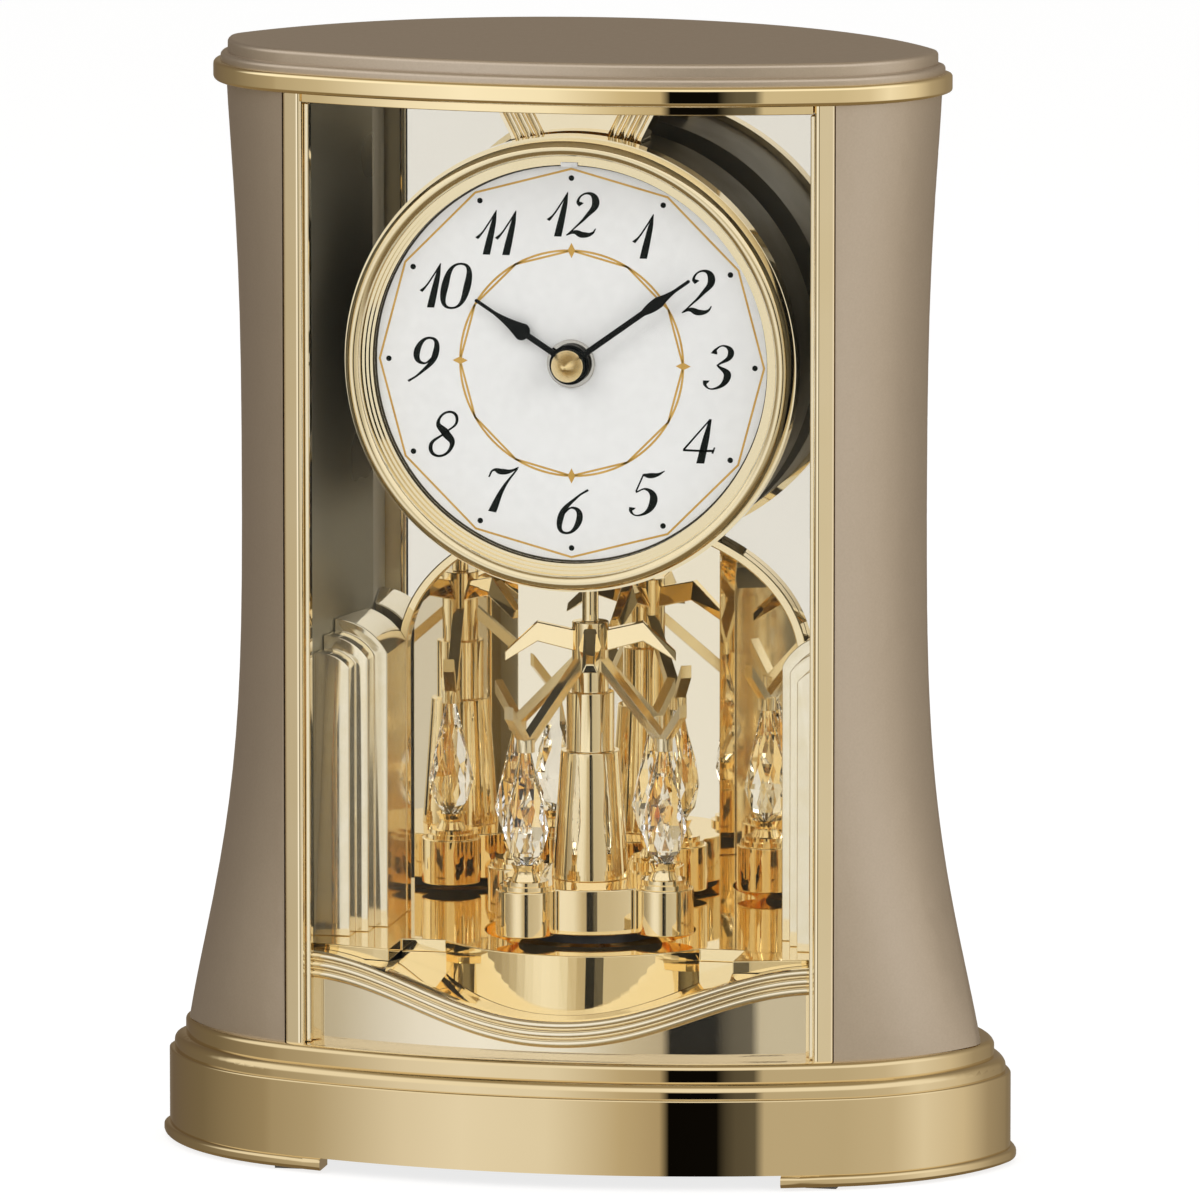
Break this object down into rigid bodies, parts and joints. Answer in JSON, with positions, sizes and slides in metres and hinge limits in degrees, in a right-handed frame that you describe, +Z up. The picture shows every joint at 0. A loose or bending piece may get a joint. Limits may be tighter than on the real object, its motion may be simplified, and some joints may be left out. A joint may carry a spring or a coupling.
{
  "type": "mantel clock",
  "caption": "Waisted shelf clock with a bowed glass front, gold trim, a round dial and a revolving crystal pendulum on a mirrored stage.",
  "frame": {"origin": "on the table under the middle of the plinth", "axes": "+Z up, -Y towards the viewer of the dial, +X to that viewer's right"},
  "size_m": [0.1696, 0.0888, 0.2184],
  "materials": {
    "gold_plate": "polished pale gold plating",
    "gold_moulding": "moulding with a polished pale gold finish",
    "taupe_paint": "fine satin metallic taupe paint",
    "clear_glass": "clear bowed pane",
    "crystal": "clear faceted drops",
    "tinted_mirror": "gold tinted mirror",
    "smoky_mirror": "smoky gold mirror",
    "dial_white": "satin white dial",
    "hand_black": "gloss black hands",
    "bright_steel": "bright steel",
    "wheel_brass": "plain brass",
    "drum_plastic": "dark gold tinted plastic",
    "black_plastic": "plain black moulding",
    "back_plastic": "fine grained dark taupe moulding",
    "base_steel": "dark painted sheet",
    "pad_rubber": "grey non-slip pads",
    "coil_copper": "enamelled copper winding",
    "magnet_grey": "plain ferrite",
    "cell_wrap": "plain dark wrap"
  },
  "bodies": {
    "case": {"alcove_mirror": "tinted_mirror", "arch_trim": "gold_moulding", "back_cover": "back_plastic", "back_mirror": "tinted_mirror", "base_plate": "base_steel", "base_plinth": "gold_moulding", "battery_cell": "cell_wrap", "battery_tray": "black_plastic", "ceiling_plate": "drum_plastic", "centre_nut": "bright_steel", "dial_bezel": "gold_plate", "dial_drum": "drum_plastic", "dial_plate": "dial_white", "drive_coil": "coil_copper", "foot_pads": "pad_rubber", "foot_rails": "gold_moulding", "front_glass": "clear_glass", "guide_bush": "wheel_brass", "hanger_bracket": "gold_moulding", "left_column": "gold_moulding", "left_inner_wall": "smoky_mirror", "left_pipe_block": "gold_moulding", "left_side_panel": "taupe_paint", "movement_case": "black_plastic", "movement_plate": "black_plastic", "pivot_bush": "wheel_brass", "right_column": "gold_moulding", "right_inner_wall": "smoky_mirror", "right_pipe_block": "gold_moulding", "right_side_panel": "taupe_paint", "stage_floor": "gold_moulding", "top_band": "gold_moulding", "top_lid": "taupe_paint", "top_rail": "gold_moulding", "wave_apron": "gold_moulding"},
    "minute_train": {"minute_arbor": "bright_steel", "minute_hand": "hand_black", "hand_cap": "gold_plate"},
    "hour_train": {"hour_wheel": "wheel_brass", "hour_hand": "hand_black"},
    "setting_train": {"setting_wheel": "bright_steel", "setting_knob": "black_plastic"},
    "pendulum": {"pendulum_platform": "gold_moulding", "crystal_cups": "gold_plate", "crystals": "crystal", "crystal_forks": "gold_plate", "pendulum_column": "gold_plate", "wing_arms": "gold_plate", "drive_magnet": "magnet_grey"},
    "door": {"battery_door": "back_plastic"}
  },
  "joints": [
    {"name": "minute_turn", "type": "hinge", "parent": "case", "child": "minute_train", "pos_m": [0, 0, 0.1572], "axis": [0, 1, 0], "continuous": true},
    {"name": "hour_turn", "type": "hinge", "parent": "case", "child": "hour_train", "pos_m": [0, 0, 0.1572], "axis": [0, 1, 0], "continuous": true},
    {"name": "setting_turn", "type": "hinge", "parent": "case", "child": "setting_train", "pos_m": [0, 0, 0.1472], "axis": [0, 1, 0], "continuous": true},
    {"name": "pendulum_turn", "type": "hinge", "parent": "case", "child": "pendulum", "pos_m": [0, 0.002, 0], "axis": [0, 0, 1], "continuous": true},
    {"name": "door_pull", "type": "slide", "parent": "case", "child": "door", "axis": [0, 1, 0], "range_m": [0, 0.025]}
  ],
  "couplings": [
    {"joint": "hour_turn", "follows": "minute_turn", "ratio": 0.083333},
    {"joint": "setting_turn", "follows": "minute_turn", "ratio": -0.33333}
  ]
}
